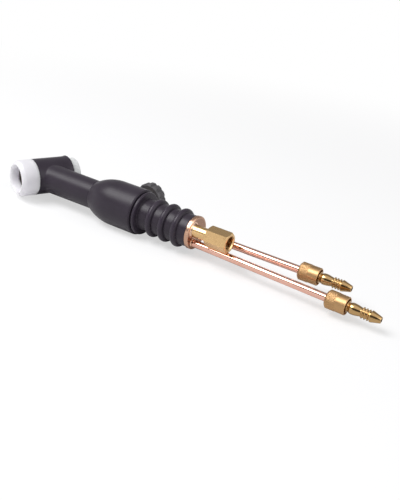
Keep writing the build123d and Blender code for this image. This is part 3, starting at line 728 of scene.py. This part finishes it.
# %% Knurled union nuts
knurl_radius, knurl_depth, knurl_teeth = 4.1, 0.09, 40.0
smooth_radius, mouth_radius = 3.98, 3.4
thread_radius, thread_pitch, thread_depth = 3.05, 0.8, 0.38
for service, line in hose_lines.items():
    outline = [(-2.8, 1.9), (-2.8, 3.4), (-2.2, 4.02)]
    outline += run(-2.15, 1.75, knurl_radius, "knurl", 0.09, fade=0.25)
    outline += [(1.82, smooth_radius), (6.15, smooth_radius), (6.4, 3.73), (6.4, mouth_radius + 0.05)]
    outline += [(6.35, mouth_radius), (5.6, mouth_radius)]
    outline += run(5.55, -1.35, thread_radius, "thread", 0.1, fade=0.6)
    outline += [(-1.4, 3.0), (-1.4, 1.9)]
    jobs = {
        "Knurl Teeth": knurl_teeth, "Knurl Radius": knurl_radius * MM, "Knurl Depth": knurl_depth * MM,
        "Thread Pitch": thread_pitch * MM, "Thread Depth": thread_depth * MM,
    }
    finish = turned(f"{service} nut brass", line, nut_brass, dull_brass, 0.4)
    nut = turned_piece(f"{service}_knurled_nut", line, outline, finish, 288, jobs)
    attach(nut, f"{service}_nut")
    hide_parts(f"{service}_union_nut")

# %% [markdown]
# A hose pushes over the nipple and its ridges hold it. The cone at the tip leads the hose on, the waist
# behind the nut takes a clamp, and the wide end inside the nut sits on the seal. The lathe only needs
# its outline here, and gives it enough sides for its polish.

# %% Hose nipples
ridge = [(-0.5, 1.98), (-0.34, 2.1), (-0.12, 2.46), (0.0, 2.52), (0.12, 2.46), (0.34, 2.1), (0.5, 1.98)]
outline = [(0.8, 0.9), (0.8, 2.95), (0.85, 3.0), (5.55, 3.0), (5.6, 2.95), (5.6, 2.2), (6.0, 2.2)]
outline += [(6.05, 2.55), (6.1, 2.6), (6.7, 2.6), (6.78, 2.52), (6.82, 2.05), (6.95, 1.92), (7.25, 1.92)]
bulge_start, bulge_length, bulge_height, bulge_lean, bulge_points = 7.3, 5.2, 0.56, 0.62, 12
for i in range(bulge_points + 1):
    share = i / bulge_points
    bulge = bulge_height * sin(pi * share ** bulge_lean)
    outline.append((bulge_start + bulge_length * share, 1.95 + bulge))
for middle in (13.2, 14.5, 15.8):
    outline += [(middle + x, radius) for x, radius in ridge]
outline += [(16.62, 2.05), (16.8, 2.5), (16.9, 2.55), (17.1, 2.52)]
outline += [(21.0, 1.42), (21.17, 1.32), (21.2, 1.22), (21.2, 0.9)]
for service, line in hose_lines.items():
    finish = turned(f"{service} nipple brass", line, bright_brass, dull_brass, 0.15)
    nipple = turned_piece(f"{service}_turned_nipple", line, outline, finish, 96)
    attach(nipple, f"{service}_nipple")
    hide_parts(f"{service}_hose_nipple")

# %% [markdown]
# The water and gas tubes run straight out of the tail, bend gently, and run straight on to their
# unions. A tube follows a path, so it has a tree of its own: the piece's mesh holds the path's corners,
# and the tree rounds them and sweeps a circle along. Polished copper shows every flat, so the circle
# has many sides.

# %% A tree that bends tubes
bender_inputs = {"Bend": "Float", "Radius": "Float", "Sides": "Int", "Finish": "Material"}
bender = Recipe("tube bender", bender_inputs)
corners = bender.node("GeometryNodeMeshToCurve", {}, {"Mesh": bender.get("Geometry")})
bend = {"Curve": corners, "Count": 16, "Radius": bender.get("Bend")}
route = bender.node("GeometryNodeFilletCurve", {"mode": "POLY"}, bend)
round_bar = {"Resolution": bender.get("Sides"), "Radius": bender.get("Radius")}
section = bender.node("GeometryNodeCurvePrimitiveCircle", {}, round_bar)
bender.serve(bender.node("GeometryNodeCurveToMesh", {}, {"Curve": route, "Profile Curve": section}))

# %% [markdown]
# Each path starts where the tube's solid starts, leaves the flange straight, and ends at the union. The
# swept skin has no wall yet. Solidify gives it one, inwards, and closes both ends, which a single sweep
# with a hollow section would leave open.

# %% Water and gas tubes
bend_radius, wall, straight = 200 * MM, 0.6 * MM, 3.4 * MM
for service, line in hose_lines.items():
    solid = tube_solids[service]
    y, z, tube_radius = (v * MM for v in tubes[service])
    path = [(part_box(solid)[0][0], y, z), (flange_back + straight, y, z), tuple(line.point)]
    mesh = bpy.data.meshes.new(solid)
    mesh.from_pydata(path, [(0, 1), (1, 2)], [])
    tube = added(f"{service}_drawn_tube", mesh)
    finish = tube_copper[service]
    jobs = {"Bend": bend_radius, "Radius": tube_radius, "Sides": 64, "Finish": finish.material}
    bender.make(tube, jobs)
    tidy(tube, finish)
    solidify = tube.modifiers.new("wall", "SOLIDIFY")
    solidify.thickness, solidify.offset = wall, -1.0
    settle(tube)
    tidy(tube, finish)
    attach(tube, "torch_body")
    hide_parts(solid)

# %% [markdown]
# The rear of the power line is a brass fitting with a hexagon for the spanner and a thread inside for
# the cable, and the head's core has a thread at each end, for the collet body and for the back cap.
# Their outsides are right as measured, so these are the measured solids with their bores tapped. A
# solid's faces come apart at every edge, so their points are merged before the solid is cut.


# %% Tapped fitting and head core
def tapped(name, node, finish, taps):
    """A copy of a solid, cut by taps of (line, start, end, mount, depth), in millimetres."""
    piece = added(name, frame["nodes"][node].data.copy())
    shell = bmesh.new()
    shell.from_mesh(piece.data)
    bmesh.ops.remove_doubles(shell, verts=shell.verts, dist=MERGE)
    shell.to_mesh(piece.data)
    shell.free()
    cut(piece, [tap(*sizes, finish) for sizes in taps], finish)
    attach(piece, "torch_body")
    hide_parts(node)
    return piece


fitting_brass = turned("fitting brass", cable_line, brass, dull_brass, 0.24)
# Painted shade: the core's metal is coloured near black, for the shade deep inside its bore.
core_alloy_in_shade = turned("core alloy", head_line, (0.10, 0.075, 0.07), (0.06, 0.045, 0.045), 0.5)
tap_start, tap_end = (x - cable_line.point.x / MM for x in (106.6, 116.0))
cable_tap = (cable_line, tap_start, tap_end, "power_cable_thread", 0.38)
front_tap = (head_line, -12.5, -3.6, "collet_body_thread", 0.4)
back_tap = (head_line, 5.6, 17.2, "back_cap_thread", 0.4)
fitting = tapped("tapped_fitting", "power_fitting", fitting_brass, [cable_tap])
core = tapped("tapped_core", "head_core", core_alloy_in_shade, [front_tap, back_tap])
dress(core_alloy_in_shade, "cooling_sleeve")

# %% [markdown]
# Where a tube or the fitting's stub comes out of the tail flange it is brazed, and braze runs into the
# corner and freezes there as a small uneven bead. The lathe makes each bead from a hollow-cornered
# outline, with lumps from a seeded noise that fade out towards the bead's thin edges.


# %% Braze beads
def bead(name, y, z, radius, size, seed):
    """A bead between the flange's rear face and a tube. The radius and the bead's size are in mm."""
    gap, edge, steps, lump = 0.01, 0.03, 8, 0.22 * MM
    line = Line((flange_back, y * MM, z * MM), neck_line.direction)
    inset = gap + edge + size
    hollow = arc(inset, radius + inset, size, size, 180, 270, steps)
    outline = [(gap, radius + gap)]
    outline += [(*point, "uneven", sin(pi * i / steps)) for i, point in enumerate(hollow)]
    piece = turned_piece(name, line, outline[::-1], braze, 64, {"Unevenness": lump, "Seed": seed})
    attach(piece, "torch_body")


braze = turned("braze", neck_line, (0.84, 0.58, 0.42), brown_copper, 0.3)
stub_radius, stub_bead, tube_bead = 2.95, 0.9, 0.45
bead("stub_braze", cable_line.point.y / MM, cable_line.point.z / MM, stub_radius, stub_bead, 1.0)
for service, seed in (("water", 2.0), ("gas", 3.0)):
    bead(f"{service}_braze", *tubes[service], tube_bead, seed)

# %% [markdown]
# The torch is shown as a shop would show it, on a white table. The table is far bigger than the view,
# and lies just under the torch's lowest point, so that nothing pokes through it.

# %% White table
half_table, clear_of_torch = 3.0, 0.1 * MM
low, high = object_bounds()
centre = (Vector(low) + Vector(high)) / 2
corners = [(-half_table, -half_table, 0.0), (half_table, -half_table, 0.0)]
corners += [(half_table, half_table, 0.0), (-half_table, half_table, 0.0)]
table_mesh = bpy.data.meshes.new("white table")
table_mesh.from_pydata(corners, [], [(0, 1, 2, 3)])
table = added("white table", table_mesh)
table.location = (centre.x, centre.y, low[2] - clear_of_torch)
print("table at", round(table.location.z / MM, 2), "mm")

# %% [markdown]
# What a ray sees of the table depends on its kind. The camera sees a table that is partly lit and partly
# gives off light of its own, so it is white and still holds the torch's soft shadow. Reflections see the
# plain lit table close by, which gives polished metal something to show. Further out both fade to pure
# white, so the table has no edge. All other rays see plain matte cloth, so the table's own light shows
# in the torch's polish but never fills its shadow.


# %% The table's cloth
def shown_rays(bench):
    """1 for rays from the camera, in a reflection or through glass, and 0 for the rest."""
    rays = bench.node("ShaderNodeLightPath")
    most = bench.also(rays, "Is Camera Ray")
    for kind in ("Is Glossy Ray", "Is Transmission Ray"):
        most = most.maths("MAXIMUM", most, bench.also(rays, kind))
    return most


fade_from, fade_to = 0.16, 0.5
cloth = Finish("white table")
from_centre = cloth.vector("LENGTH", cloth.place(), output="Value")
matte = cloth.node("ShaderNodeBsdfDiffuse", {}, {"Color": (0.8, 0.8, 0.8, 1.0)})
faint = cloth.node("ShaderNodeBsdfDiffuse", {}, {"Color": (0.42, 0.42, 0.427, 1.0)})
glow = cloth.node("ShaderNodeEmission", {}, {"Strength": 0.575})
half_lit = cloth.node("ShaderNodeAddShader", {}, {0: faint, 1: glow})
pure = cloth.node("ShaderNodeEmission", {}, {"Strength": 1.0})
rays = cloth.node("ShaderNodeLightPath")
camera_ray, through_glass = cloth.also(rays, "Is Camera Ray"), cloth.also(rays, "Is Transmission Ray")
straight = rays.maths("MAXIMUM", camera_ray, through_glass)
close = cloth.node("ShaderNodeMixShader", {}, {0: straight, 1: matte, 2: half_lit})
far = cloth.step(from_centre, fade_from, fade_to)
seen = cloth.node("ShaderNodeMixShader", {}, {0: far, 1: close, 2: pure})
both = cloth.node("ShaderNodeMixShader", {}, {0: shown_rays(cloth), 1: matte, 2: seen})
cloth.join(both, cloth.tree.nodes["Material Output"].inputs["Surface"])
table_mesh.materials.append(cloth.material)

# %% [markdown]
# Light comes from one big soft lamp up and to the left, from a weaker one at the right, and from a white
# room. The room looks pure white in reflections but lights the torch only a little, so that the soft
# lamp's shadows stay.

# %% White room and soft lamps
ROOM_LIGHT = 0.25
world = bpy.data.worlds.new("white room")
bpy.context.scene.world = world
world.use_nodes = True
room = Bench(world.node_tree)
strength = shown_rays(room) * (1 - ROOM_LIGHT) + ROOM_LIGHT
backdrop = world.node_tree.nodes["Background"]
backdrop.inputs["Color"].default_value = (1.0, 1.0, 1.0, 1.0)
room.join(strength, backdrop.inputs["Strength"])


def soft_lamp(name, toward, distance, size, power):
    """A flat lamp in the direction toward, facing the torch."""
    light = bpy.data.lights.new(name, "AREA")
    light.shape = "RECTANGLE"
    light.size, light.size_y = size
    light.energy = power
    lamp = added(name, light)
    lamp.location = centre + Vector(toward).normalized() * distance
    lamp.rotation_euler = Vector(toward).to_track_quat("Z", "Y").to_euler()


soft_lamp("soft lamp", (-0.45, -0.42, 0.80), 1.05, (0.70, 0.60), 10.0)
soft_lamp("side lamp", (0.80, -0.15, 0.55), 1.1, (1.0, 0.8), 3.6)
print("room light:", ROOM_LIGHT)

# %% [markdown]
# Polished metal shows whatever surrounds it, and in a room that is white all round it would look flat
# and pale. Dark boards round the table cure that. They are curved like part of a dome, and are seen only
# in reflections: a wide one from the left round to the camera, a low one below the camera, under that
# end of it, and a greyer one behind the torch.


# %% Dark boards
def dark_board(name, headings, heights, tone):
    """Part of a dome round the torch, between two headings and two heights in degrees."""
    rows, steps, reach = 8, 24, 1.4
    vertices = []
    for i in range(rows + 1):
        height = radians(heights[0] + (heights[1] - heights[0]) * i / rows)
        for j in range(steps + 1):
            heading = radians(headings[0] + (headings[1] - headings[0]) * j / steps)
            flat = reach * cos(height)
            spot = Vector((flat * cos(heading), flat * sin(heading), reach * sin(height)))
            vertices.append(centre + spot)
    width = steps + 1
    faces = [
        (i * width + j, i * width + j + 1, (i + 1) * width + j + 1, (i + 1) * width + j)
        for i in range(rows)
        for j in range(steps)
    ]
    mesh = bpy.data.meshes.new(name)
    mesh.from_pydata(vertices, [], faces)
    board = added(name, mesh)
    paint = Finish(name)
    paint.set(Base_Color=(0.0, 0.0, 0.0, 1.0), Roughness=1.0, Specular_IOR_Level=0.0)
    paint.set(Emission_Color=(1.0, 1.0, 1.0, 1.0), Emission_Strength=tone)
    mesh.materials.append(paint.material)
    board.visible_camera = board.visible_transmission = False
    board.visible_diffuse = board.visible_shadow = False


dark_board("front board", (-190, -50), (17, 44), 0.08)
dark_board("low board", (-98, -50), (1, 17), 0.08)
dark_board("back board", (50, 170), (5, 72), 0.36)

# %% [markdown]
# The camera looks down the torch from above its head, with a lens of about 50 mm, and is rolled a
# little so that the torch runs from corner to corner. Three turns set it: round the upright, down
# towards the table, and the roll.

# %% Camera
lens = bpy.data.cameras.new("camera")
lens.sensor_fit = "VERTICAL"
lens.sensor_height = 36
lens.lens = 51.01
camera = added("camera", lens)
camera_place = Matrix.Translation((0.2461, -0.2595, 0.1279))
heading = Matrix.Rotation(radians(29.634), 4, "Z")
look_down = Matrix.Rotation(radians(65.594), 4, "X")
roll = Matrix.Rotation(radians(8.051), 4, "Z")
camera.matrix_world = camera_place @ heading @ look_down @ roll
bpy.context.scene.camera = camera
bpy.context.scene.view_settings.view_transform = "Standard"
print("camera to centre:", round((camera.matrix_world.translation - centre).length, 3), "m")
